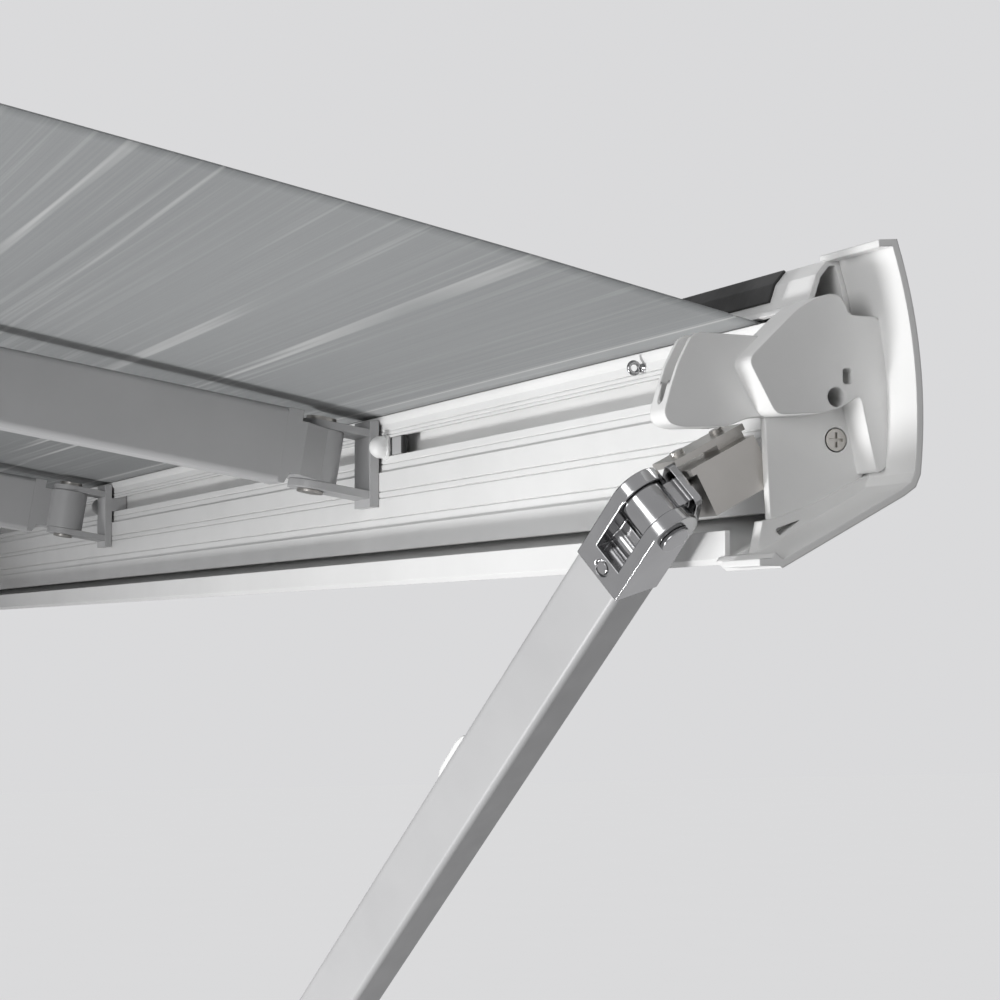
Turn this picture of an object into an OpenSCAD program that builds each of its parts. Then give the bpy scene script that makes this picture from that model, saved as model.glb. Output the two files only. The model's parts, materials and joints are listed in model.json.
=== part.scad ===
// Roll out awning for a camper: wall case, roller, two folding arms, lead rail and two swing-out legs.
// Millimetres. X runs along the case, Y points away from the wall, Z is up.
// The origin lies on the wall face, at the middle of the four wall holes.

/* [Awning] */
// Width of the fabric
fabric_w = 1880; // [1840:10:2400]
// Thickness of the fabric
fabric_t = 0.8; // [0.6:0.1:1.2]
// Fall of the arms away from the wall, in degrees
slope = 9.3; // [8.5:0.1:10]

/* [Case] */
// Depth of the case's lower shelf
shelf_d = 40; // [32:1:46]
// Height of the case above the origin
case_up = 62; // [58:1:70]
// Height of the case below the origin
case_down = 95; // [90:1:98]
// Wall of the case profiles
case_t = 3; // [2:0.5:4]
// Thickness of the end plates
plate_t = 12; // [10:1:12]
// Distance between the wall holes along the case
hole_dx = 1200; // [900:10:1500]
// Distance between the wall holes up the case
hole_dz = 112; // [100:2:114]
// Radius of the wall holes
hole_r = 3.25; // [2.5:0.25:4.5]

/* [Roller] */
// Radius of the roller tube
roller_r = 25; // [22:0.5:26]
// Wall of the roller tube
roller_t = 2; // [1.5:0.25:3]
// Distance of the roller from the wall
roller_y = 50; // [46:1:56]
// Height of the roller
roller_z = 21; // [20:0.5:24]
// Radius of the roller's end journals
journal_r = 10; // [8:0.5:12]

/* [Arms] */
// Distance between the pivots of each arm link
arm_len = 545; // [500:1:560]
// Bend of each link when the awning is out, in degrees
bend = 3.5; // [3:0.5:6]
// Height of the arm tubes
arm_h = 48; // [44:1:48]
// Width of the arm tubes
arm_w = 26; // [22:1:26]
// Wall of the arm tubes
arm_t = 2.2; // [1.6:0.2:3]
// Distance of the shoulder pivots from the wall
shoulder_y = 60; // [58:1:66]
// Radius of the arm pins
pin_r = 6; // [5:0.25:7]

/* [Lead rail] */
// Reach of the rail in front of the fabric slot
rail_front = 31; // [29:1:34]
// Wall of the rail profile
rail_t = 2.5; // [2:0.25:3]
// Reach of the rail beyond each edge of the fabric
rail_over = 30; // [28:1:34]
// Length of the end caps beyond the rail
cap_len = 50; // [46:1:60]
// Distance of the wrist pivots from the rail's inner web
wrist_reach = 40; // [36:1:42]

/* [Legs] */
// Width of the leg tubes
leg_w = 30; // [28:1:32]
// Thickness of the leg tubes
leg_d = 26; // [22:1:26]
// Wall of the leg tubes
leg_t = 2.2; // [1.6:0.2:2.6]
// Length of the outer leg tubes
leg_len = 780; // [600:10:800]
// Turn of the leg out of the rail, in degrees
leg_turn = 32; // [20:1:60]
// Tilt of the leg towards the wall, in degrees
leg_tilt = 22; // [10:1:45]

/* [Hidden] */
$fn = 48;

// Clearances
run_gap = 0.05;
flat_gap = 0.3;
side_gap = 5;

// Case
case_half = fabric_w / 2 + side_gap;
pivot_x = case_half - arm_len - 20;
hood_t = 2.5;
hood_y = 156;
hood_z = 33;
lip_h = 7;

// Arms: pivot frame is tilted by the slope; the tubes lie beside the pivot lines
arm_off = arm_w / 2 + 1;
shoulder_z = -45;
hub_r = 16;
tube_gap = 26;
ear_t = 5;
tongue_h = 30;
wrist_h = 34;
reach = 2 * arm_len * cos(bend);
wrist_y = shoulder_y + reach * cos(slope);
wrist_z = shoulder_z - reach * sin(slope);

// Lead rail: the fabric slot is the rail's own zero
web_y = -4;
channel_z = -20;
channel_mouth = 12;
channel_in = 18;
channel_d = 9;
wrist_drop = 25;
slot_y = wrist_y + wrist_reach - web_y;
slot_z = wrist_z + wrist_drop;
slot_r = 4;
slot_wall = 2.5;
rail_half = fabric_w / 2 + rail_over;
rail_end = rail_half + cap_len;
front_curve = 235;
front_mid_z = -46;
rail_top = 27;
rail_low = -72;
lip_y = -38;
lip_z = -111;

// Fabric: leaves the roller over its top and runs to the slot
wrap_t = 1;
fabric_r = roller_r + wrap_t + flat_gap;
fall = atan2(roller_z + fabric_r - slot_z, slot_y - roller_y);

// Legs: the swivel axis leans down towards the wall
swivel_lean = 28;
leg_x = fabric_w / 2 + 18;
leg_y = -67;
leg_z = -88;
spigot_r = 5.5;
leg_pin_r = 5;
head_h = 16;
knuckle_len = 40;
clip_at = 205;
mount_near = 18;
mount_far = 54;
mount_half = 13;
plate_in = 1;

// Outline helpers
function turn90(p) = [-p[1], p[0]];
function unit(p) = p / norm(p);
function side(p, i) =
  let (n = len(p) - 1)
  i == 0 ? turn90(unit(p[1] - p[0]))
  : i == n ? turn90(unit(p[n] - p[n - 1]))
  : let (s = turn90(unit(p[i] - p[i - 1])) + turn90(unit(p[i + 1] - p[i]))) s * 2 / (s * s);
function strip(p, t) = concat(p, [for (i = [len(p) - 1:-1:0]) p[i] + side(p, i) * t]);
function arc(c, r, a0, a1, n = 16) = [for (i = [0:n]) c + r * [cos(a0 + (a1 - a0) * i / n), sin(a0 +
  (a1 - a0) * i / n)]];

function inset(p, t) =
  let (n = len(p))
  [for (i = [0:n - 1])
    let (s = turn90(unit(p[i] - p[(i + n - 1) % n])) + turn90(unit(p[(i + 1) % n] - p[i]))) p[i] +
      s * 2 * t / (s * s)];

function corner(a, b, c, r, n) =
  let (u = unit(a - b), v = unit(c - b), d = min(r, 0.45 * norm(a - b), 0.45 * norm(c - b)))
  [for (k = [0:n]) let (t = k / n) (1 - t) * (1 - t) * (b + u * d) + 2 * t * (1 - t) * b + t * t * (b +
    v * d)];
function smooth(p, r, n = 4) =
  let (m = len(p))
  [for (i = [0:m - 1]) each corner(p[(i + m - 1) % m], p[i], p[(i + 1) % m], r, n)];

// Draws an outline in Y and Z, from x0 to x1
module along_x(x0, x1) {
  translate([x0, 0, 0]) rotate([90, 0, 90]) linear_extrude(x1 - x0) children();
}
module round_rect(w, h, r) {
  square([w - 2 * r, h], center = true);
  square([w, h - 2 * r], center = true);
  for (x = [-1, 1], y = [-1, 1]) translate([x * (w / 2 - r), y * (h / 2 - r)]) circle(r);
}
module box_tube(w, h, t, r) {
  difference() {
    round_rect(w, h, r);
    round_rect(w - 2 * t, h - 2 * t, max(r - t, 0.4));
  }
}
module rod(r, h) {
  cylinder(r = r, h = h, center = true);
}
module left() {
  mirror([1, 0, 0]) children();
}

// Frames: the arm frame at the shoulder, the two links in it, the rail and the leg
module arm_frame() {
  translate([pivot_x, shoulder_y, shoulder_z]) rotate([-slope, 0, 0]) children();
}
module upper_frame() {
  arm_frame() rotate([0, 0, -bend]) children();
}
module elbow_frame() {
  upper_frame() translate([0, arm_len, 0]) children();
}
module fore_frame() {
  elbow_frame() rotate([0, 0, 2 * bend]) children();
}
module wrist_frame() {
  arm_frame() translate([0, reach, 0]) children();
}
module rail_frame() {
  translate([0, slot_y, slot_z]) children();
}
module leg_base() {
  rail_frame() translate([leg_x, leg_y, leg_z]) rotate([swivel_lean, 0, 0]) children();
}
module swivel_frame() {
  leg_base() rotate([0, -leg_turn, 0]) children();
}
module leg_frame() {
  swivel_frame() rotate([0, 0, leg_tilt]) rotate([0, 0, 180]) children();
}

// Case
bracket_xs = [-27, 27];
bracket_zs = [-28, 26];
back_lip = [[shelf_d, -case_down], [shelf_d + 3, -case_down + 3], [shelf_d + 3, -case_down + lip_h]];
module case_back() {
  color("gainsboro") difference() {
    along_x(-case_half, case_half) {
      translate([0, -case_down]) square([case_t, case_up + case_down]);
      polygon(strip(concat([[0, -case_down]], back_lip), case_t));
      translate([0, case_up - case_t]) square([34, case_t]);
      translate([0, -7]) square([14, case_t]);
    }
    for (x = [-1, 1], z = [-1, 1])
      translate([x * hole_dx / 2, case_t / 2, z * hole_dz / 2]) rotate([90, 0, 0]) rod(hole_r, case_t * 3);
    for (s = [-1, 1], x = bracket_xs, z = bracket_zs)
      translate([s * (pivot_x + x), case_t / 2, shoulder_z + z]) rotate([90, 0, 0]) rod(2.5, case_t * 3);
  }
}
hood_path = concat(
  [[4, case_up]],
  [[44, case_up + 1], [80, case_up], [110, case_up - 5]],
  [[134, case_up - 12], [148, case_up - 20], [hood_y, hood_z + 4], [hood_y, hood_z]]
);
module case_hood() {
  color("white") along_x(-case_half, case_half) polygon(strip(hood_path, hood_t));
}
module hood_seal() {
  color("dimgray") along_x(-case_half, case_half) translate([hood_y + hood_t / 2, hood_z - 2]) {
    translate([-hood_t / 2, 0]) square([hood_t, 2]);
    circle(1.6);
  }
}
plate_path = [
  [0, -case_down], [shelf_d + 3, -case_down], [shelf_d + 8, -case_down + 12], [96, -30], [128, -14],
  [136, 10], [hood_y - 4, hood_z + 4], [hood_y - 10, hood_z + 10], [110, case_up - 5], [44, case_up], [0,
    case_up]
];
module end_plate(bossed) {
  base = 4;
  difference() {
    union() {
      along_x(case_half, case_half + base) polygon(plate_path);
      along_x(case_half, case_half + plate_t) difference() {
        polygon(plate_path);
        polygon(inset(plate_path, 3));
      }
      along_x(case_half, case_half + plate_t) translate([roller_y, roller_z]) circle(journal_r + 9);
      for (a = [60, 150, 240, 330])
        translate([case_half, roller_y, roller_z]) rotate([a, 0, 0])
          translate([0, -1.25, journal_r + 6]) cube([plate_t - 3, 2.5, 12]);
      if (bossed)
        along_x(case_half, case_half + plate_t) translate([20, -60]) circle(8);
    }
    translate([case_half, roller_y, roller_z]) rotate([0, 90, 0]) rod(journal_r + 4, 4 * plate_t);
  }
}
module end_plate_right() {
  color("white") end_plate(false);
}
module end_plate_left() {
  color("white") left() end_plate(true);
}
gear_x0 = case_half + plate_t;
gear_w = 34;
eye_y = 30;
eye_r = 6;
module gearbox_housing() {
  color("lightgray") difference() {
    along_x(gear_x0, gear_x0 + gear_w) {
      translate([roller_y, roller_z]) circle(28);
      translate([eye_y - 14, -14]) square([28, 48]);
      translate([eye_y - 11, -18]) square([22, 8]);
    }
    translate([gear_x0 + gear_w / 2, eye_y, -10]) rod(eye_r + run_gap, 44);
    translate([gear_x0 + gear_w, roller_y, roller_z]) rotate([0, 90, 0]) rod(20, 4);
  }
}
module roller_bushes() {
  color("black") for (s = [0, 1]) mirror([s, 0, 0])
    along_x(case_half + 0.5, case_half + plate_t) translate([roller_y, roller_z]) difference() {
      circle(journal_r + 4);
      circle(journal_r + run_gap);
    }
}
module shoulder_bracket() {
  arm_ear = arm_h / 2 - 1.2;
  difference() {
    union() {
      translate([pivot_x - 34, case_t, shoulder_z - 36]) cube([68, 5, 70]);
      translate([pivot_x - 17, case_t, shoulder_z - 34]) cube([34, 25, 66]);
      for (s = [-1, 1]) arm_frame() translate([0, 0, s * (arm_ear + ear_t / 2)]) {
        rod(hub_r + 1, ear_t);
        translate([-hub_r - 1, -48, -ear_t / 2]) cube([2 * hub_r + 2, 48, ear_t]);
      }
    }
    arm_frame() rod(pin_r + 0.02, 90);
    for (x = bracket_xs, z = bracket_zs)
      translate([pivot_x + x, case_t, shoulder_z + z]) rotate([90, 0, 0]) rod(2.5, 30);
  }
}
module shoulder_bracket_right() {
  color("silver") shoulder_bracket();
}
module shoulder_bracket_left() {
  color("silver") left() shoulder_bracket();
}
// Pin with a flat head above and a retaining ring below
module arm_pin(half) {
  rod(pin_r, 2 * half + 4);
  translate([0, 0, half + 1.5]) rod(pin_r + 4, 3);
  translate([0, 0, -half - 1.2]) rod(pin_r + 2.5, 1.6);
}
module shoulder_pins() {
  color("dimgray") for (s = [0, 1]) mirror([s, 0, 0]) arm_frame() arm_pin(arm_h / 2 - 1.2 + ear_t);
}
module case_screws() {
  color("gray") for (s = [0, 1]) mirror([s, 0, 0]) {
    for (x = bracket_xs, z = bracket_zs) translate([pivot_x + x, case_t + 5, shoulder_z + z])
      rotate([-90, 0, 0]) {
      cylinder(r = 4.6, h = 3);
      translate([0, 0, -7]) cylinder(r = 2.48, h = 7);
    }
  }
}

// Crank eye under the gearbox
eye_ring = 12;
module crank_eye() {
  color("silver") translate([gear_x0 + gear_w / 2, eye_y, 0]) {
    translate([0, 0, -22]) rod(eye_r, 48);
    translate([0, 0, -46 - eye_ring]) rotate([0, 90, 0]) rotate_extrude() translate([eye_ring, 0])
      circle(3.6);
  }
}

// Roller
roller_half = fabric_w / 2;
module roller_tube() {
  color("silver") along_x(-roller_half, roller_half) translate([roller_y, roller_z]) difference() {
    circle(roller_r);
    circle(roller_r - roller_t);
    translate([-2, -roller_r - 1]) square([4, 2.6]);
  }
}
module roller_plugs() {
  color("dimgray") for (s = [0, 1]) mirror([s, 0, 0]) {
    along_x(roller_half - 60, roller_half) translate([roller_y, roller_z]) circle(roller_r - roller_t);
    along_x(roller_half, roller_half + 2) translate([roller_y, roller_z]) circle(roller_r);
    along_x(roller_half + 2, case_half + plate_t - 0.5) translate([roller_y, roller_z]) circle(journal_r);
  }
}
module fabric_wraps() {
  color("gray") along_x(-roller_half, roller_half) translate([roller_y, roller_z]) difference() {
    circle(roller_r + wrap_t);
    circle(roller_r);
  }
}
lift_off = [roller_y + fabric_r * sin(fall), roller_z + fabric_r * cos(fall)];
fabric_end = [slot_y - slot_r - 0.3, slot_z + (slot_r + 0.3) * tan(fall)];
module fabric() {
  color("gray") along_x(-roller_half, roller_half) polygon(strip([lift_off, fabric_end], fabric_t));
}

// Arm links; each local frame runs along +Y from its inner pivot
module link_tube(y0, y1) {
  translate([arm_off, y0, 0]) rotate([-90, 0, 0]) linear_extrude(y1 - y0) box_tube(arm_w, arm_h, arm_t, 4);
}
module link_plug(y0, y1) {
  translate([arm_off, y0, 0]) rotate([-90, 0, 0]) linear_extrude(y1 - y0)
    round_rect(arm_w - 2 * arm_t, arm_h - 2 * arm_t, 1.8);
}
// Round hub with a neck towards the tube at +Y, of height h
module hub(h, pin_gap) {
  difference() {
    union() {
      rod(hub_r, h);
      translate([0, 0, -h / 2]) linear_extrude(h)
        polygon([[1, 0], [hub_r, 0], [2 * arm_off - 1, tube_gap - 8], [2 * arm_off - 1, tube_gap], [1,
          tube_gap]]);
    }
    rod(pin_r + pin_gap, h + 1);
  }
}
module collar(y0, y1) {
  translate([arm_off, y0, 0]) rotate([-90, 0, 0]) linear_extrude(y1 - y0) round_rect(arm_w, arm_h, 4);
}
module upper_arm_tube() {
  link_tube(tube_gap, arm_len - tube_gap);
}
module shoulder_knuckle() {
  hub(arm_h - 3, run_gap);
  collar(tube_gap - 6, tube_gap);
  link_plug(tube_gap, tube_gap + 50);
}
module elbow_fork() {
  fork_gap = tongue_h + 0.6;
  translate([0, arm_len, 0]) difference() {
    union() {
      mirror([0, 1, 0]) hub(arm_h, 0.02);
      mirror([0, 1, 0]) collar(tube_gap - 8, tube_gap);
    }
    rod(hub_r + 1.4, fork_gap);
    translate([-3 * hub_r, -hub_r + 2, -fork_gap / 2]) cube([6 * hub_r, 3 * hub_r, fork_gap]);
    translate([-2 * hub_r - 1, -3 * hub_r, -fork_gap / 2]) cube([2 * hub_r, 3 * hub_r, fork_gap]);
  }
  link_plug(arm_len - tube_gap - 50, arm_len - tube_gap);
}
module elbow_pin() {
  translate([0, arm_len, 0]) arm_pin(arm_h / 2);
}
module arm_spring() {
  translate([arm_off, tube_gap + 50, 0]) rotate([-90, 0, 0]) cylinder(r = arm_w / 2 - arm_t - 1, h =
    arm_len * 0.6);
}
module forearm_tube() {
  link_tube(tube_gap, arm_len - tube_gap - 6);
}
module elbow_tongue() {
  hub(tongue_h, run_gap);
  collar(tube_gap - 6, tube_gap);
  link_plug(tube_gap, tube_gap + 50);
}
module wrist_tongue(pin_gap) {
  translate([0, arm_len, 0]) mirror([0, 1, 0]) {
    hub(wrist_h, pin_gap);
    translate([arm_off - arm_w / 2, 0, 0]) rotate([90, 0, 90]) linear_extrude(arm_w)
      polygon([[22, arm_h / 2], [tube_gap + 6, arm_h / 2], [tube_gap + 6, -arm_h / 2], [tube_gap + 2,
        -arm_h / 2], [22, -10]]);
    link_plug(tube_gap + 6, tube_gap + 50);
  }
}
arm_grey = "darkgray";
module upper_arm_tube_right() { color(arm_grey) upper_frame() upper_arm_tube(); }
module shoulder_knuckle_right() { color("gray") upper_frame() shoulder_knuckle(); }
module elbow_fork_right() { color("gray") upper_frame() elbow_fork(); }
module elbow_pin_right() { color("dimgray") upper_frame() elbow_pin(); }
module arm_spring_right() { color("black") upper_frame() arm_spring(); }
module forearm_tube_right() { color(arm_grey) fore_frame() forearm_tube(); }
module elbow_tongue_right() { color("gray") fore_frame() elbow_tongue(); }
module wrist_tongue_right() { color("gray") fore_frame() wrist_tongue(run_gap); }
module upper_arm_tube_left() { color(arm_grey) left() upper_frame() upper_arm_tube(); }
module shoulder_knuckle_left() { color("gray") left() upper_frame() shoulder_knuckle(); }
module elbow_fork_left() { color("gray") left() upper_frame() elbow_fork(); }
module elbow_pin_left() { color("dimgray") left() upper_frame() elbow_pin(); }
module arm_spring_left() { color("black") left() upper_frame() arm_spring(); }
module forearm_tube_left() { color(arm_grey) left() fore_frame() forearm_tube(); }
module elbow_tongue_left() { color("gray") left() fore_frame() elbow_tongue(); }
// The left wrist is the linkage's open pivot, so its bore has more room
module wrist_tongue_left() { color("gray") left() fore_frame() wrist_tongue(0.4); }

// Lead rail outline, from the fabric slot over the top, down the front and back along the bottom
front_c = [rail_front - front_curve, front_mid_z];
front_a1 = asin((rail_top - front_mid_z) / front_curve);
front_a0 = asin((rail_low - front_mid_z) / front_curve);
front_top = front_c + front_curve * [cos(front_a1), sin(front_a1)];
front_low = front_c + front_curve * [cos(front_a0), sin(front_a0)];
shell_path = concat(
  [[3, slot_r + 1], [8, rail_top - 7], [front_top[0] - 6, rail_top - 0.5]],
  arc(front_c, front_curve, front_a1, front_a0, 14),
  [front_low + [-2, -4.5], front_low + [-7, -8]],
  [[lip_y + 3, lip_z], [lip_y, lip_z + 2.5], [lip_y, lip_z + 15]]
);
web_low = -87;
port = [14.3, -55];
step_1 = -36;
groove_zs = [-48.8, -52.8, -66];
rib_zs = [-10, -12.4, -31];
step_2 = -72;
module rail_webs() {
  along_x(-rail_half, rail_half) circle(slot_r + slot_wall);
  along_x(-rail_half, rail_half) translate([web_y, channel_z - channel_in / 2 - 3]) square([channel_d +
    6, channel_in + 6]);
  along_x(-rail_half, rail_half) translate([web_y, step_1 - 1]) square([3, -step_1 + 1]);
  along_x(-rail_half, rail_half) translate([web_y - 2, step_2 - 1]) square([3, step_1 - step_2 + 1]);
  along_x(-rail_half, rail_half) translate([web_y - 4.5, web_low]) square([3, step_2 - web_low]);
  along_x(-rail_half, rail_half) translate([web_y - 1, port[1] - 1]) square([rail_front - web_y - 0.5, 2]);
  along_x(-rail_half, rail_half) translate([web_y + channel_d + 4, channel_z - 1])
    square([rail_front - 3 - web_y - channel_d - 4, 2]);
  along_x(-rail_half, rail_half) translate(port) circle(5);
}
module lead_rail() {
  color("white") rail_frame() difference() {
    union() {
      along_x(-rail_half, rail_half) polygon(strip(shell_path, -rail_t));
      rail_webs();
    }
    along_x(-rail_half - 1, rail_half + 1) circle(slot_r);
    along_x(-rail_half - 1, rail_half + 1) translate(port) circle(2.52);
    for (z = groove_zs) along_x(-rail_half - 1, rail_half + 1) translate([web_y - 3, z]) square([1.8, 0.8]);
    for (z = rib_zs) along_x(-rail_half - 1, rail_half + 1) translate([web_y - 1, z]) square([1.6, 0.8]);
    along_x(-rail_half - 1, rail_half + 1) rotate(180 - fall) translate([0, -1.4]) square([20, 2.8]);
    along_x(-rail_half - 1, rail_half + 1) translate([web_y + 3, channel_z - channel_in / 2])
      square([channel_d, channel_in]);
    along_x(-rail_half - 1, rail_half + 1) translate([web_y - 1, channel_z - channel_mouth / 2])
      square([6, channel_mouth]);
  }
}

// End caps: a shell round the rail's end, a stepped inner plate and a guide scoop towards the wall
cap_grow = 2.5;
cap_plate_path = [
  [-38, -22.5], [-14, 0.5], [-4.5, 6], [2, 8.2], [7, 7.5], [9.8, 3.8], [12, -1], [26.8, -1.3],
    [rail_front, -40],
  [29.8, -68], [25, -71], [16.8, -36], [10, -41], [1.4, -44.4], [-24.5, -46.3]
];
cap_panel_path = [[-21, -44], [-18.5, -93], [-1, -87], [25, -74], [rail_front - 1.5, -68], [20, -38]];
cap_lower_path = [
  [-24, -92], [-18.5, -91], [-1, -85], [25, -72.5], [29.6, -70], [28, -76.5], [22, -80.5], [-27, -106.5]
];
scoop_path = [
  [-10, -10.5], [-54.5, -9.5], [-58, -12], [-64, -23.5], [-67.5, -33.5], [-71, -45.5], [-68.5, -50],
    [-62.5, -51.5],
  [-40, -50.5], [-30, -46.5], [-10, -45]
];
scoop_x0 = rail_half - 8;
scoop_w = 16;
module cap_shell() {
  grown = [for (i = [2:len(shell_path) - 2]) shell_path[i] + side(shell_path, i) * cap_grow];
  along_x(rail_half - 4, rail_end) polygon(strip(grown, -cap_grow + 0.1));
  along_x(rail_half + plate_in, rail_end) polygon(strip(grown, -cap_grow - 0.6));
  along_x(rail_half + 14, rail_end) translate([lip_y - 8, lip_z - 2]) square([12, 3]);
}
module cap_scoop() {
  wall = 2.5;
  difference() {
    along_x(scoop_x0, scoop_x0 + scoop_w) polygon(smooth(scoop_path, 2.5));
    along_x(scoop_x0 + wall, scoop_x0 + scoop_w - wall)
      polygon([[-32, 0], [-80, 0], [-80, -28], [-66.5, -30], [-68, -43.5], [-62.5, -49], [-40, -48],
        [-32, -44.5]]);
    along_x(scoop_x0 + 5, scoop_x0 + scoop_w - 5) translate([-75, -38]) square([12, 20]);
    translate([scoop_x0 + scoop_w / 2, -69, -38]) rotate([90, 0, 0]) rod(scoop_w / 2 - 5, 12);
    along_x(scoop_x0 - 1, rail_half + 0.3) translate([-26, -60]) square([40, 70]);
  }
}
module end_cap() {
  rail_frame() difference() {
    union() {
      cap_shell();
      along_x(rail_half + plate_in, rail_half + 24) polygon(smooth(cap_plate_path, 4));
      along_x(rail_half + plate_in, rail_half + 6) polygon(cap_panel_path);
      along_x(rail_half + plate_in, rail_half + 9) polygon(cap_lower_path);
      cap_scoop();
    }
    along_x(rail_half - 1, rail_half + 40) translate([5, -37.6]) circle(4.4);
    along_x(rail_half + 3, rail_half + 40) translate(port) circle(5.6);
    along_x(rail_half - 1, rail_half + 40) translate(port) circle(2.6);
    along_x(rail_half - 1, rail_half + 12) polygon(smooth([[-18, -95.5], [-5, -91], [-15.5, -98.5]], 2));
    along_x(rail_half + 14, rail_half + 40) translate([10.5, -28.2]) round_rect(4.6, 7, 1.5);
  }
}
module end_cap_right() {
  color("white") end_cap();
}
module end_cap_left() {
  color("white") left() end_cap();
}
module cap_screws() {
  color("silver") for (s = [0, 1]) mirror([s, 0, 0]) rail_frame() translate([rail_half + 3, port[0],
    port[1]]) rotate([0, 90, 0]) {
    difference() {
      cylinder(r = 5, h = 3);
      translate([-3.4, -0.7, 1.4]) cube([6.8, 1.4, 4]);
      translate([-0.7, -3.4, 1.4]) cube([1.4, 6.8, 4]);
    }
    translate([0, 0, -14]) cylinder(r = 2.5, h = 14);
  }
}

// Wrist brackets clamp in the rail's channel
module wrist_bracket() {
  wrist_ear = wrist_h / 2 + 0.2;
  plate_w = 32;
  head_w = 31;
  difference() {
    union() {
      rail_frame() translate([pivot_x - plate_w / 2, 0, 0]) {
        translate([0, web_y - 8.3, channel_z - 38]) cube([plate_w, 6, 56]);
        translate([0, web_y - 3, channel_z - channel_mouth / 2 + 0.2]) cube([plate_w, 8,
          channel_mouth - 0.4]);
        translate([0, web_y + 3.3, channel_z - channel_in / 2 + 0.3]) cube([head_w, channel_d - 1,
          channel_in - 0.6]);
      }
      for (s = [-1, 1]) wrist_frame() translate([0, 0, s * (wrist_ear + ear_t / 2)]) {
        rod(hub_r - 1, ear_t);
        translate([-hub_r + 1, 0, -ear_t / 2]) cube([2 * hub_r - 2, wrist_reach - 4 - 3 * s, ear_t]);
      }
    }
    wrist_frame() rod(pin_r + 0.02, 90);
  }
}
module wrist_bracket_right() {
  color("silver") wrist_bracket();
}
module wrist_bracket_left() {
  color("silver") left() wrist_bracket();
}
module wrist_pins() {
  color("dimgray") for (s = [0, 1]) mirror([s, 0, 0]) wrist_frame() arm_pin(wrist_h / 2 + 0.2 + ear_t);
}
bumper_x = pivot_x + 25;
bumper_r = 7.2;
bumper_h = 4.4;
module wrist_bumpers() {
  color("white") for (s = [0, 1]) mirror([s, 0, 0]) rail_frame() {
    translate([bumper_x - 8.5, web_y + 3.3, channel_z - channel_in / 2 + 0.3]) cube([17, channel_d - 1,
      channel_in - 0.6]);
    translate([bumper_x - 5, web_y - 3, channel_z - channel_mouth / 2 + 0.2]) cube([10, 8,
      channel_mouth - 0.4]);
    translate([bumper_x, web_y, channel_z]) rotate([90, 0, 0]) {
      cylinder(r = bumper_r + 1, h = 2);
      cylinder(r = bumper_r, h = bumper_h);
      translate([0, 0, bumper_h]) sphere(bumper_r);
    }
  }
}
module hem_keder() {
  color("dimgray") rail_frame() along_x(-roller_half, roller_half) circle(slot_r - 0.2);
}
// Rubber facing on the rail's top flange, which ends short of the caps
seal_half = roller_half - 10;
module rail_seal() {
  color("black") rail_frame() along_x(-seal_half, seal_half) polygon(strip([[5.2, 11.6], shell_path[1],
    shell_path[2]], 1.2));
}

// Leg mounts: a block that takes the swivel's spigot, with a screwed leaf over it
module leg_mount() {
  leg_base() {
    difference() {
      translate([-mount_half, mount_near + 3, -13]) cube([2 * mount_half, mount_far - mount_near - 3, 21]);
      translate([0, mount_near, 0]) rotate([90, 0, 0]) rod(spigot_r + run_gap, 3 * mount_far);
    }
    translate([-mount_half - 2, mount_near + 1, 7.5]) cube([2 * mount_half + 2,
      mount_far - mount_near - 1, 3]);
    translate([-mount_half, mount_far - 14, 10]) cube([16.5, 14, 4]);
    translate([-20, mount_near, 13]) cube([23.5, mount_far - mount_near + 2, 3]);
    for (y = [mount_near + 8, mount_far - 6]) translate([-8, y, 15.5]) cylinder(r = 3.2, h = 2.5);
  }
}
module leg_mount_right() {
  color("silver") leg_mount();
}
module leg_mount_left() {
  color("silver") left() leg_mount();
}
module leg_swivel() {
  difference() {
    union() {
      translate([0, 29.5, 0]) rotate([90, 0, 0]) rod(spigot_r, 33);
      translate([0, 17.7, 1]) rotate([90, 0, 0]) linear_extrude(3.6) round_rect(22, 24, 4);
      rod(11, head_h);
      translate([-7, 0, -6.5]) cube([14, 14.6, 13]);
    }
    rod(leg_pin_r + 0.02, 60);
  }
}
module leg_pin() {
  rod(leg_pin_r, leg_w + 2);
  for (s = [-1, 1]) translate([0, 0, s * (leg_w / 2 + 1.2)]) rod(leg_pin_r + 2.4, 2);
}
// Leg frame: +X runs down the leg, Z is the pin
module leg_knuckle() {
  ear = (leg_w - head_h) / 2 - flat_gap;
  difference() {
    union() {
      for (s = [-1, 1]) translate([0, 0, s * (leg_w - ear) / 2]) {
        rod(leg_d / 2, ear);
        translate([0, -leg_d / 2, -ear / 2]) cube([knuckle_len, leg_d, ear]);
      }
      translate([knuckle_len - 12, -leg_d / 2, -leg_w / 2]) cube([12, leg_d, leg_w]);
      translate([14, -3, -leg_w / 2]) cube([knuckle_len - 24, 6, leg_w]);
      translate([24, 0, 0]) rod(5, leg_w - 1);
      translate([knuckle_len, 0, 0]) rotate([90, 0, 90]) linear_extrude(40)
        round_rect(leg_d - 2 * leg_t, leg_w - 2 * leg_t, 1.2);
    }
    rod(leg_pin_r + run_gap, 60);
    for (s = [-1, 1]) translate([knuckle_len - 6, s * leg_d / 2, 0]) rotate([90, 0, 0]) difference() {
      rod(4.2, 3);
      rod(3, 4);
    }
  }
}
lever_at = knuckle_len + leg_len - 62;
lever_y = leg_d / 2 + 4.5;
lever_pin = 2;
module leg_tube() {
  translate([knuckle_len, 0, 0]) rotate([90, 0, 90]) linear_extrude(leg_len) box_tube(leg_d, leg_w,
    leg_t, 3);
  for (s = [-1, 1]) translate([lever_at, 0, s * 11.5]) difference() {
    translate([-5, leg_d / 2 - 0.8, -1.5]) cube([10, 9.3, 3]);
    translate([0, lever_y, 0]) rod(lever_pin + run_gap, 10);
  }
}
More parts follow.
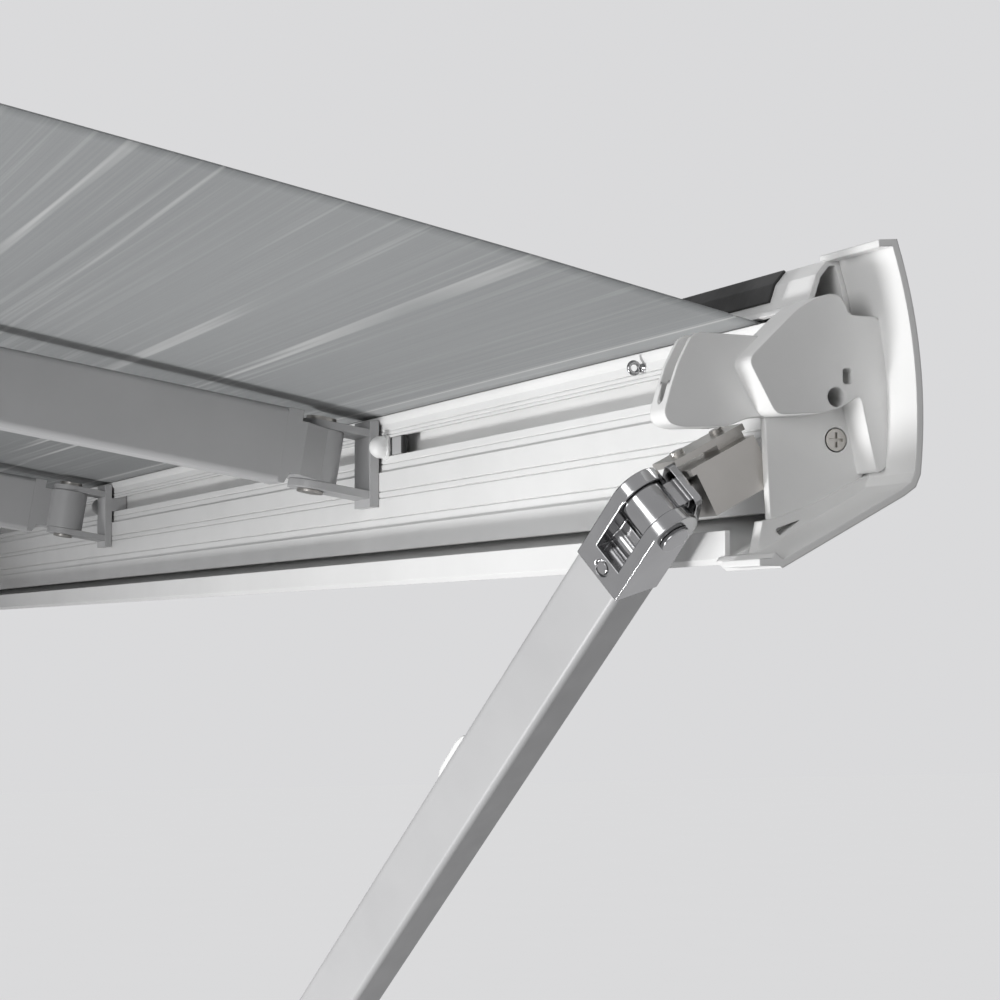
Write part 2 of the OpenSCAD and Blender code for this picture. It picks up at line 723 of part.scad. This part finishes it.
module leg_clip() {
  translate([clip_at, 0, leg_w / 2]) rotate([90, 0, 0]) translate([0, 0, -6]) linear_extrude(12)
    polygon([[-18, 0], [18, 0], [18, 3], [13, 4.8], [-9, 5.2], [-15, 4], [-18, 2]]);
}
leg_end = knuckle_len + leg_len;
inner_out = 14;
module leg_inner() {
  translate([knuckle_len + 60, 0, 0]) rotate([90, 0, 90]) linear_extrude(leg_len - 60 + inner_out)
    box_tube(leg_d - 2 * leg_t - 0.4, leg_w - 2 * leg_t - 0.4, 1.6, 2);
}
module leg_foot() {
  translate([leg_end + inner_out, 0, 0]) rotate([90, 0, 90]) {
    linear_extrude(14) round_rect(leg_d + 2, leg_w, 5);
    translate([0, 0, 14]) linear_extrude(6) round_rect(leg_d + 2, leg_w + 10, 6);
  }
}
lever_len = 40;
module leg_lever() {
  translate([lever_at, lever_y, 0]) {
    rod(lever_pin, 26);
    rod(3.3, 19);
    translate([0, -3, -9.5]) cube([lever_len, 3.5, 19]);
    translate([lever_len - 8, -3, -12]) cube([8, 5.5, 24]);
  }
}
module leg_swivel_right() { color("silver") swivel_frame() leg_swivel(); }
module leg_pin_right() { color("gray") swivel_frame() leg_pin(); }
module leg_knuckle_right() { color("lightgray") leg_frame() leg_knuckle(); }
module leg_tube_right() { color("gray") leg_frame() leg_tube(); }
module leg_clip_right() { color("white") leg_frame() leg_clip(); }
module leg_inner_right() { color("silver") leg_frame() leg_inner(); }
module leg_foot_right() { color("black") leg_frame() leg_foot(); }
module leg_lever_right() { color("dimgray") leg_frame() leg_lever(); }
module leg_swivel_left() { color("silver") left() swivel_frame() leg_swivel(); }
module leg_pin_left() { color("gray") left() swivel_frame() leg_pin(); }
module leg_knuckle_left() { color("lightgray") left() leg_frame() leg_knuckle(); }
module leg_tube_left() { color("gray") left() leg_frame() leg_tube(); }
module leg_clip_left() { color("white") left() leg_frame() leg_clip(); }
module leg_inner_left() { color("silver") left() leg_frame() leg_inner(); }
module leg_foot_left() { color("black") left() leg_frame() leg_foot(); }
module leg_lever_left() { color("dimgray") left() leg_frame() leg_lever(); }

case_back();
case_hood();
hood_seal();
end_plate_right();
end_plate_left();
gearbox_housing();
roller_bushes();
shoulder_bracket_right();
shoulder_bracket_left();
shoulder_pins();
case_screws();
crank_eye();
roller_tube();
roller_plugs();
fabric_wraps();
fabric();
upper_arm_tube_right();
shoulder_knuckle_right();
elbow_fork_right();
elbow_pin_right();
arm_spring_right();
forearm_tube_right();
elbow_tongue_right();
wrist_tongue_right();
upper_arm_tube_left();
shoulder_knuckle_left();
elbow_fork_left();
elbow_pin_left();
arm_spring_left();
forearm_tube_left();
elbow_tongue_left();
wrist_tongue_left();
lead_rail();
end_cap_right();
end_cap_left();
wrist_bracket_right();
wrist_bracket_left();
wrist_pins();
wrist_bumpers();
hem_keder();
rail_seal();
leg_mount_right();
leg_mount_left();
cap_screws();
leg_swivel_right();
leg_pin_right();
leg_knuckle_right();
leg_tube_right();
leg_clip_right();
leg_inner_right();
leg_foot_right();
leg_lever_right();
leg_swivel_left();
leg_pin_left();
leg_knuckle_left();
leg_tube_left();
leg_clip_left();
leg_inner_left();
leg_foot_left();
leg_lever_left();
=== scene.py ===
import bpy
import json
import math
from mathutils import Matrix, Vector


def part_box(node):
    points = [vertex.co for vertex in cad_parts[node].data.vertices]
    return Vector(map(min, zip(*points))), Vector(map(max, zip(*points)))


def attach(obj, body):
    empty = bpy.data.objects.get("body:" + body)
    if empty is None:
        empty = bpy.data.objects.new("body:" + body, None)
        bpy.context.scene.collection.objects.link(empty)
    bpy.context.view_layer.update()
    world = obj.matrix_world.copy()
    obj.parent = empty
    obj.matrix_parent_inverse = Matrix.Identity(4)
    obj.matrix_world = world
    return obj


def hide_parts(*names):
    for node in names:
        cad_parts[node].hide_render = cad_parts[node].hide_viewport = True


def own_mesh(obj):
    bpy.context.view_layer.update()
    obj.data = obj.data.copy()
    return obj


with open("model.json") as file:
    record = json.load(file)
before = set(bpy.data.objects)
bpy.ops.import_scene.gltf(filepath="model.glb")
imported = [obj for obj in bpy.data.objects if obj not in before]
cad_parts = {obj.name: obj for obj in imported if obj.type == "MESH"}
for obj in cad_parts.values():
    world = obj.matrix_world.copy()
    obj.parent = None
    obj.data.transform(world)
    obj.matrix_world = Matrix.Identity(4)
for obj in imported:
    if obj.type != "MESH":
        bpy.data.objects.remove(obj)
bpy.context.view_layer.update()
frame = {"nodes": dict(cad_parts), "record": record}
scene = bpy.context.scene
nodes = frame["nodes"]
sides = ((1, "right"), (-1, "left"))


def middle(node):
    """The middle of a CAD node's box at rest."""
    low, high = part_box(node)
    return (Vector(low) + Vector(high)) / 2


def unit(value):
    """The value, kept between nought and one."""
    return min(max(value, 0.0), 1.0)


# Places and sizes read from the frame, in metres
joints = {j["name"]: j for j in frame["record"]["behaviour"]["joints"]}
slot = middle("hem_keder")
roller = middle("roller_tube")
fabric_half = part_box("fabric_wraps")[1][0]
roller_r = roller.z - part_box("roller_tube")[0][2]

# The fabric's straight line from the top of the roller to the rail's slot
leave_gap = 0.0013
slot_gap = 0.0047
leave_r = roller_r + leave_gap
fall = math.atan2(roller.z + leave_r - slot.z, slot.y - roller.y)
fabric_up = Vector((0, math.sin(fall), math.cos(fall)))
fabric_start = Vector((0, roller.y, roller.z)) + fabric_up * leave_r
fabric_end = Vector((0, slot.y - slot_gap, slot.z + slot_gap * math.tan(fall)))
fabric_len = (fabric_end - fabric_start).length

# The fabric's form, in metres and in shares of its length
fabric_t = 0.0008
sag_depth = 0.011
sag_from, sag_full = 0.2, 0.55
ripple = 0.0012
roller_rise, rise_share = 0.0055, 0.36
hem = 0.016
hem_fold = 0.001
hang, hang_from, hang_share = 0.0008, 0.9, 0.086
fabric_rows, fabric_cols = 120, 140

# The wound fabric
wound_turns = 1.25
wound_gap, wound_growth = 0.0002, 0.0007
wound_rows, wound_cols = 90, 12

# The right wrist's place, from the folding arm's joints
wrist = Vector(joints["wrist_right"]["pos_m"])


# Materials
class Mat:
    """A material with a Principled shader and short calls for the nodes behind it."""

    def __init__(self, name, **sockets):
        self.mat = bpy.data.materials.new(name)
        self.mat.use_nodes = True
        self.tree = self.mat.node_tree
        self.bsdf = self.tree.nodes["Principled BSDF"]
        for key, value in sockets.items():
            self.bsdf.inputs[key.replace("_", " ")].default_value = value

    def new(self, kind, **props):
        node = self.tree.nodes.new(kind)
        for key, value in props.items():
            setattr(node, key, value)
        return node

    def link(self, a, b):
        self.tree.links.new(a, b)

    def coords(self, stretch=(1, 1, 1), source="Object"):
        tex = self.new("ShaderNodeTexCoord")
        mapping = self.new("ShaderNodeMapping")
        mapping.inputs["Scale"].default_value = stretch
        self.link(tex.outputs[source], mapping.inputs["Vector"])
        return mapping.outputs["Vector"]

    def noise(self, scale, detail=3.0, stretch=(1, 1, 1), source="Object", rough=0.55):
        tex = self.new("ShaderNodeTexNoise")
        tex.inputs["Scale"].default_value = scale
        tex.inputs["Detail"].default_value = detail
        tex.inputs["Roughness"].default_value = rough
        self.link(self.coords(stretch, source), tex.inputs["Vector"])
        return tex.outputs["Fac"]

    def ramp(self, fac, stops):
        ramp = self.new("ShaderNodeValToRGB")
        elements = ramp.color_ramp.elements
        while len(elements) < len(stops):
            elements.new(0.5)
        for element, (at, value) in zip(elements, stops):
            element.position = at
            element.color = (*value, 1)
        self.link(fac, ramp.inputs["Fac"])
        return ramp.outputs["Color"]

    def above(self, fac, low, high):
        """Black below low, white above high."""
        black, white = (0, 0, 0), (1, 1, 1)
        return self.ramp(fac, [(0.0, black), (low, black), (high, white), (1.0, white)])

    def grey(self, fac, low, high):
        """Spreads a noise's middle range from low to high."""
        out = self.new("ShaderNodeMapRange")
        out.inputs["From Min"].default_value = 0.3
        out.inputs["From Max"].default_value = 0.7
        out.inputs["To Min"].default_value = low
        out.inputs["To Max"].default_value = high
        self.link(fac, out.inputs["Value"])
        return out.outputs["Result"]

    def math(self, op, a, b=None):
        node = self.new("ShaderNodeMath", operation=op)
        for socket, value in zip(node.inputs, (a, b)):
            if value is None:
                continue
            if isinstance(value, (int, float)):
                socket.default_value = value
            else:
                self.link(value, socket)
        return node.outputs["Value"]

    def product(self, *factors):
        out = factors[0]
        for factor in factors[1:]:
            out = self.math("MULTIPLY", out, factor)
        return out

    def mix(self, fac, a, b):
        """Mixes socket a with colour b."""
        node = self.new("ShaderNodeMix", data_type="RGBA")
        self.link(fac, node.inputs[0])
        self.link(a, node.inputs[6])
        node.inputs[7].default_value = (*b, 1)
        return node.outputs[2]

    def color(self, out):
        self.link(out, self.bsdf.inputs["Base Color"])

    def rough(self, out):
        self.link(out, self.bsdf.inputs["Roughness"])

    def bump(self, out, strength, distance):
        node = self.new("ShaderNodeBump")
        node.inputs["Strength"].default_value = strength
        node.inputs["Distance"].default_value = distance
        self.link(out, node.inputs["Height"])
        self.link(node.outputs["Normal"], self.bsdf.inputs["Normal"])
        return node

    def soften(self, bump, radius):
        """Rounds the look of sharp edges under a bump."""
        node = self.new("ShaderNodeBevel")
        node.samples = 8
        node.inputs["Radius"].default_value = radius
        self.link(node.outputs["Normal"], bump.inputs["Normal"])


def coated(name, low, high, rough=(0.34, 0.46), grain=900, depth=0.00006):
    m = Mat(name, Metallic=0.0, Coat_Weight=0.12, Coat_Roughness=0.3)
    m.color(m.ramp(m.noise(9, 4), [(0.32, low), (0.68, high)]))
    m.rough(m.grey(m.noise(60, 3), *rough))
    m.soften(m.bump(m.noise(grain, 2), 0.35, depth), 0.0007)
    return m.mat


def moulded(name, low, high, rough=(0.42, 0.55), grain=1400, depth=0.00008):
    m = Mat(name, Metallic=0.0)
    m.color(m.ramp(m.noise(14, 5), [(0.3, low), (0.7, high)]))
    m.rough(m.grey(m.noise(45, 3), *rough))
    m.soften(m.bump(m.noise(grain, 3), 0.4, depth), 0.0012)
    return m.mat


def metal(name, low, high, rough, stretch=(1, 1, 1), scale=120, depth=0.00005, strength=0.3, edge=0.0006):
    """Bare or plated metal; an edge of nought leaves its edges sharp."""
    m = Mat(name, Metallic=1.0)
    m.color(m.ramp(m.noise(scale * 0.3, 4, stretch), [(0.3, low), (0.7, high)]))
    m.rough(m.grey(m.noise(scale, 4, stretch), *rough))
    bump = m.bump(m.noise(scale, 3, stretch), strength, depth)
    if edge:
        m.soften(bump, edge)
    return m.mat


def cloth(name, hem_at):
    """Woven acrylic with thin irregular light bands; U runs along the rail, V away from the wall."""
    weave = 5200.0
    seam_in, seam_half = 0.0025, 0.0007
    m = Mat(name, Metallic=0.0, Roughness=0.85, Sheen_Weight=0.2, Sheen_Roughness=0.5, Specular_IOR_Level=0.2)
    broad = m.noise(5.0, 2, (0.06, 1, 1), "UV", 0.5)
    streak = m.noise(80.0, 2, (0.010, 1, 1), "UV", 0.6)
    thread = m.noise(210.0, 2, (0.006, 1, 1), "UV", 0.6)
    fine = m.noise(700.0, 2, (0.003, 1, 1), "UV", 0.5)
    strong = m.above(streak, 0.59, 0.65)
    faint = m.above(thread, 0.53, 0.66)
    fade = m.grey(m.noise(3.0, 2, (0.7, 5, 1), "UV"), 0.05, 1.0)
    base = m.ramp(broad, [(0.3, (0.200, 0.208, 0.213)), (0.7, (0.260, 0.269, 0.274))])
    lined = m.mix(m.product(fine, 0.4), base, (0.385, 0.394, 0.398))
    haze = m.mix(m.product(faint, fade, 0.5), lined, (0.46, 0.47, 0.47))
    bands = m.mix(m.product(strong, fade, 0.8), haze, (0.66, 0.665, 0.66))
    split = m.new("ShaderNodeSeparateXYZ")
    m.link(m.new("ShaderNodeTexCoord").outputs["UV"], split.inputs["Vector"])
    u, v = split.outputs["X"], split.outputs["Y"]
    in_hem = m.math("GREATER_THAN", v, hem_at)
    seam = m.math("LESS_THAN", m.math("ABSOLUTE", m.math("SUBTRACT", v, hem_at + seam_in)), seam_half)
    # Lighter within the hem, next to the rail.
    hem_lighter = m.mix(m.product(in_hem, 0.35), bands, (0.42, 0.43, 0.435))
    m.color(m.mix(m.product(seam, 0.6), hem_lighter, (0.62, 0.62, 0.61)))
    warp = m.math("SINE", m.product(u, weave))
    weft = m.math("SINE", m.product(v, weave))
    m.bump(m.product(warp, weft), 0.35, 0.00015)
    return m.mat


# Near-black rubber, the own colour of the stops and other rubber parts. On the strip along the top of the
# rail's front wall it is a dark piece put where there is only shade: painted shade.
black_rubber = moulded("black_rubber", (0.015, 0.015, 0.015), (0.025, 0.025, 0.025), (0.6, 0.8), 600, 0.0002)
grey_casting = coated("grey_casting_coat", (0.40, 0.40, 0.405), (0.46, 0.46, 0.465), (0.35, 0.48),
                      grain=700, depth=0.0001)
# Polished casting. Its colour is kept dark: a painted dark reflection, darker than the bright metal's own
# tone.
chrome = metal("polished_casting", (0.32, 0.32, 0.325), (0.39, 0.39, 0.395), (0.10, 0.18),
               scale=70, depth=0.0001, edge=0.001)
fabric_mat = cloth("striped_fabric", fabric_len - hem)

by_slot = {
    "white_profile": coated("white_powder_coat", (0.80, 0.80, 0.795), (0.85, 0.85, 0.845)),
    "white_moulding": moulded("white_moulding", (0.78, 0.78, 0.775), (0.83, 0.83, 0.825)),
    "grey_tube": coated("grey_powder_coat", (0.41, 0.41, 0.415), (0.46, 0.46, 0.465), (0.38, 0.5), 1100),
    "grey_casting": grey_casting,
    "grey_plastic": moulded("grey_moulding", (0.42, 0.42, 0.42), (0.47, 0.47, 0.47)),
    "black_plastic": moulded("black_moulding", (0.018, 0.018, 0.018), (0.03, 0.03, 0.03)),
    "black_rubber": black_rubber,
    "chrome_casting": chrome,
    "steel": metal("brushed_steel", (0.42, 0.405, 0.385), (0.47, 0.455, 0.435), (0.32, 0.38),
                   (0.2, 1, 1), scale=90, depth=0.00001, strength=0.1, edge=0),
    "aluminium": metal("anodised_tube", (0.66, 0.66, 0.67), (0.74, 0.74, 0.75), (0.28, 0.4),
                       (0.05, 1, 1), scale=500),
    "awning_fabric": fabric_mat,
}
for part in frame["record"]["subparts"]:
    obj = nodes[part["node"]]
    obj.data.materials.clear()
    obj.data.materials.append(by_slot[part["material_slot"]])


# Meshes
def make_mesh(name, verts, faces, uvs=None, smooth=True):
    mesh = bpy.data.meshes.new(name)
    mesh.from_pydata([tuple(v) for v in verts], [], faces)
    if uvs:
        layer = mesh.uv_layers.new(name="UVMap")
        for loop in mesh.loops:
            layer.data[loop.index].uv = uvs[loop.vertex_index]
    for poly in mesh.polygons:
        poly.use_smooth = smooth
    obj = bpy.data.objects.new(name, mesh)
    scene.collection.objects.link(obj)
    return obj


def grid_faces(rows, cols):
    """The faces of a sheet whose points run along cols in each of its rows."""
    starts = [i * cols + j for i in range(rows - 1) for j in range(cols - 1)]
    return [(a, a + 1, a + cols + 1, a + cols) for a in starts]


# Fabric: a taut sheet whose middle sags a little below its straight side edges
def over_roller(t):
    """A low rise near the roller, which keeps the sheet off the roller's round when the awning is closed."""
    return roller_rise * math.sin(math.pi * t / rise_share) ** 0.9 if 0 < t < rise_share else 0.0


def sheet_drop(x, s):
    """How far the sheet lies below its straight line at x along the rail and s away from the roller."""
    t = s / fabric_len
    side = abs(x) / fabric_half
    sag = sag_depth * math.sin(math.pi * t) ** 0.8 * (1 - side ** 3.5) if 0 < t < 1 else 0.0
    sag += ripple * math.sin(math.pi * t) * math.sin(3.1 * x + 9.0 * t)
    ease = unit((t - sag_from) / (sag_full - sag_from))
    fold = hem_fold if s >= fabric_len - hem else hang * unit((t - hang_from) / hang_share)
    return sag * ease * ease * (3 - 2 * ease) - over_roller(t) + fold


def make_fabric():
    start, end, length = fabric_start, fabric_end, fabric_len
    along = (end - start).normalized()
    seam = length - hem
    rows = [length * i / fabric_rows for i in range(fabric_rows)]
    rows = [s for s in rows if s < seam - 0.004]
    rows += [seam - 0.0014, seam, seam + 0.0008, length - hem / 2, length]
    cols = [fabric_half * (2 * i / fabric_cols - 1) for i in range(fabric_cols + 1)]
    verts, uvs = [], []
    for s in rows:
        for x in cols:
            p = start + along * s - fabric_up * sheet_drop(x, s)
            verts.append((x, p.y, p.z))
            uvs.append((x, s))
    obj = make_mesh("awning_sheet", verts, grid_faces(len(rows), len(cols)), uvs)
    obj.data.materials.append(fabric_mat)
    thick = obj.modifiers.new("thickness", "SOLIDIFY")
    thick.thickness = fabric_t
    thick.offset = 1.0
    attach(obj, "case")
    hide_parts("fabric")
    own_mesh(obj)


def make_wraps():
    """The wound fabric, whose outer end lies where the sheet leaves the roller."""
    wound_angle = 2 * math.pi * wound_turns
    verts, uvs = [], []
    cols = [fabric_half * (2 * i / wound_cols - 1) for i in range(wound_cols + 1)]
    for k in range(wound_rows + 1):
        share = k / wound_rows
        a = math.pi / 2 - fall + wound_angle * (1 - share)
        r = roller_r + wound_gap + wound_growth * share
        for x in cols:
            verts.append((x, roller.y + r * math.cos(a), roller.z + r * math.sin(a)))
            uvs.append((x, r * wound_angle * share))
    obj = make_mesh("wound_sheet", verts, grid_faces(wound_rows + 1, len(cols)), uvs)
    obj.data.materials.append(fabric_mat)
    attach(obj, "roller")
    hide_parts("fabric_wraps")


make_fabric()
make_wraps()


# Small pieces on the rail
def solid(name, verts, faces, material, body, slot_name, smooth=False):
    """A small piece of its own that rides a body."""
    obj = make_mesh(name, verts, faces, smooth=smooth)
    obj.data.materials.append(material)
    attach(obj, body)


def round_points(count):
    """The cosine and sine of evenly spaced angles."""
    angles = [2 * math.pi * i / count for i in range(count)]
    return [(math.cos(a), math.sin(a)) for a in angles]


def ring_and_shank(centre, ring_r, wire_r, shank):
    """An eye of round wire, on a short shank that runs from it in +Y."""
    ring_n, wire_n, shank_n = 32, 10, 16
    verts, faces = [], []
    for ring_cos, ring_sin in round_points(ring_n):
        for wire_cos, wire_sin in round_points(wire_n):
            r = ring_r + wire_r * wire_cos
            verts.append((centre.x + wire_r * wire_sin, centre.y + r * ring_cos, centre.z + r * ring_sin))
    for i in range(ring_n):
        here, there = i * wire_n, (i + 1) % ring_n * wire_n
        for j in range(wire_n):
            k = (j + 1) % wire_n
            faces.append((here + j, here + k, there + k, there + j))
    base = len(verts)
    thin, thick = wire_r, wire_r * 2.1
    collar = ring_r + wire_r
    steps = ((ring_r - wire_r * 0.4, thin), (collar, thin), (collar, thick), (ring_r + shank, thick))
    for far, r in steps:
        for c, s in round_points(shank_n):
            verts.append((centre.x + r * c, centre.y + far, centre.z + r * s))
    for i in range(len(steps) - 1):
        here = base + i * shank_n
        there = here + shank_n
        for j in range(shank_n):
            k = (j + 1) % shank_n
            faces.append((here + j, here + k, there + k, there + j))
    last = base + (len(steps) - 1) * shank_n
    faces.append(tuple(base + j for j in range(shank_n)))
    faces.append(tuple(last + j for j in reversed(range(shank_n))))
    return verts, faces


def block(low, high, edge):
    """A box whose front edges, on its low Y side, are cut back by edge."""
    (x0, y0, z0), (x1, y1, z1) = low, high
    verts = []
    for y, e in ((y1, 0), (y0 + edge, 0), (y0, edge)):
        verts += [(x0 + e, y, z0 + e), (x1 - e, y, z0 + e), (x1 - e, y, z1 - e), (x0 + e, y, z1 - e)]
    faces = [(3, 2, 1, 0), (8, 9, 10, 11)]
    for i in (0, 4):
        faces += [(i + j, i + (j + 1) % 4, i + 4 + (j + 1) % 4, i + 4 + j) for j in range(4)]
    return verts, faces


web_y = slot.y - 0.004
channel_z = slot.z - 0.020
channel_half = 0.0057
slider_proud, slider_depth, slider_edge = 0.0004, 0.0028, 0.0005

# Slider between two stops in the rail's channel, outboard of each bumper, measured from the wrist
slider_pieces = (
    ("stop_in", 0.0335, 0.0362, black_rubber, "black_rubber"),
    ("slider", 0.0364, 0.0536, grey_casting, "grey_casting"),
    ("stop_out", 0.0538, 0.0565, black_rubber, "black_rubber"),
)
for side, word in sides:
    for name, near, far, material, slot_name in slider_pieces:
        x0, x1 = sorted((side * (wrist.x + near), side * (wrist.x + far)))
        low = (x0, web_y - slider_proud, channel_z - channel_half)
        high = (x1, web_y + slider_depth, channel_z + channel_half)
        solid(name + "_" + word, *block(low, high, slider_edge), material, "rail", slot_name)

# Cord eyelets on the rail's inner web
eyelet_in, eyelet_out, eyelet_down = 0.132, 0.0056, 0.0075
eyelet_r, eyelet_wire_r, eyelet_shank = 0.0028, 0.0011, 0.0024
for side, word in sides:
    at = Vector((side * (fabric_half - eyelet_in), web_y - eyelet_out, slot.z - eyelet_down))
    shape = ring_and_shank(at, eyelet_r, eyelet_wire_r, eyelet_shank)
    solid("eyelet_" + word, *shape, chrome, "rail", "chrome_casting", True)

# Camera at the photograph's angle, placed from the fabric's corner at the rail
corner_to_eye = Vector((1.1046, -0.5597, -0.146))
right = Vector((0.3605, 0.9328, 0.0)).normalized()
ahead = Vector((-0.9315, 0.3600, 0.0532)).normalized()
over = right.cross(ahead).normalized()
right = ahead.cross(over).normalized()
cam_data = bpy.data.cameras.new("camera")
cam_data.lens = 97.2
cam_data.sensor_width = 36.0
cam_data.clip_start = 0.05
cam = bpy.data.objects.new("camera", cam_data)
scene.collection.objects.link(cam)
eye = Vector((fabric_half, slot.y, slot.z)) + corner_to_eye
cam.matrix_world = Matrix.Translation(eye) @ Matrix((right, over, -ahead)).transposed().to_4x4()
scene.camera = cam


# Floor and world
def background_rays(tree):
    """One for camera, mirror and see-through rays, which show the pale background, and else nought."""
    path = tree.nodes.new("ShaderNodeLightPath")
    out = path.outputs["Is Camera Ray"]
    for kind in ("Is Glossy Ray", "Is Transmission Ray"):
        larger = tree.nodes.new("ShaderNodeMath")
        larger.operation = "MAXIMUM"
        tree.links.new(out, larger.inputs[0])
        tree.links.new(path.outputs[kind], larger.inputs[1])
        out = larger.outputs["Value"]
    return out


floor_half, floor_z, floor_glow = 30, -2.1, 0.75
corners = ((-1, -1), (1, -1), (1, 1), (-1, 1))
floor = make_mesh("floor", [(floor_half * x, floor_half * y, floor_z) for x, y in corners], [(0, 1, 2, 3)])
pale = Mat("pale_floor", Roughness=0.8)
pale.color(pale.ramp(pale.noise(2.0, 3), [(0.3, (0.70, 0.70, 0.70)), (0.7, (0.74, 0.74, 0.74))]))
glow = pale.new("ShaderNodeEmission")
glow.inputs["Color"].default_value = (0.875, 0.875, 0.885, 1)
blend = pale.new("ShaderNodeMixShader")
pale.link(pale.product(background_rays(pale.tree), floor_glow), blend.inputs["Fac"])
pale.link(pale.bsdf.outputs["BSDF"], blend.inputs[1])
pale.link(glow.outputs["Emission"], blend.inputs[2])
pale.link(blend.outputs["Shader"], pale.tree.nodes["Material Output"].inputs["Surface"])
floor.data.materials.append(pale.mat)

world = bpy.data.worlds.new("studio")
scene.world = world
world.use_nodes = True
tree = world.node_tree
lighting = tree.nodes["Background"]
lighting.inputs["Color"].default_value = (0.72, 0.72, 0.73, 1)
lighting.inputs["Strength"].default_value = 0.25
shown = tree.nodes.new("ShaderNodeBackground")
shown.inputs["Color"].default_value = (0.70, 0.70, 0.71, 1)
shown.inputs["Strength"].default_value = 1.0
mixer = tree.nodes.new("ShaderNodeMixShader")
tree.links.new(background_rays(tree), mixer.inputs["Fac"])
tree.links.new(lighting.outputs["Background"], mixer.inputs[1])
tree.links.new(shown.outputs["Background"], mixer.inputs[2])
tree.links.new(mixer.outputs["Shader"], tree.nodes["World Output"].inputs["Surface"])


# Lamps
def area(name, place, target, size, power, spread=180):
    """A rectangular lamp that looks from its place to its target."""
    data = bpy.data.lights.new(name, "AREA")
    data.shape = "RECTANGLE"
    data.size, data.size_y = size
    data.energy = power
    data.spread = math.radians(spread)
    lamp = bpy.data.objects.new(name, data)
    scene.collection.objects.link(lamp)
    aim = (Vector(target) - Vector(place)).to_track_quat("-Z", "Y")
    lamp.matrix_world = Matrix.Translation(place) @ aim.to_matrix().to_4x4()


area("low", (0.55, -0.8, -1.7), (0.95, 1.15, -0.25), (0.5, 0.4), 10.5, 90)
area("left", (1.9, -0.8, -0.1), (0.9, 1.15, -0.3), (1.2, 1.0), 19)
area("top", (0.6, 2.8, 1.6), (0.6, 1.0, -0.2), (2.0, 1.4), 48)

scene.view_settings.view_transform = "Standard"
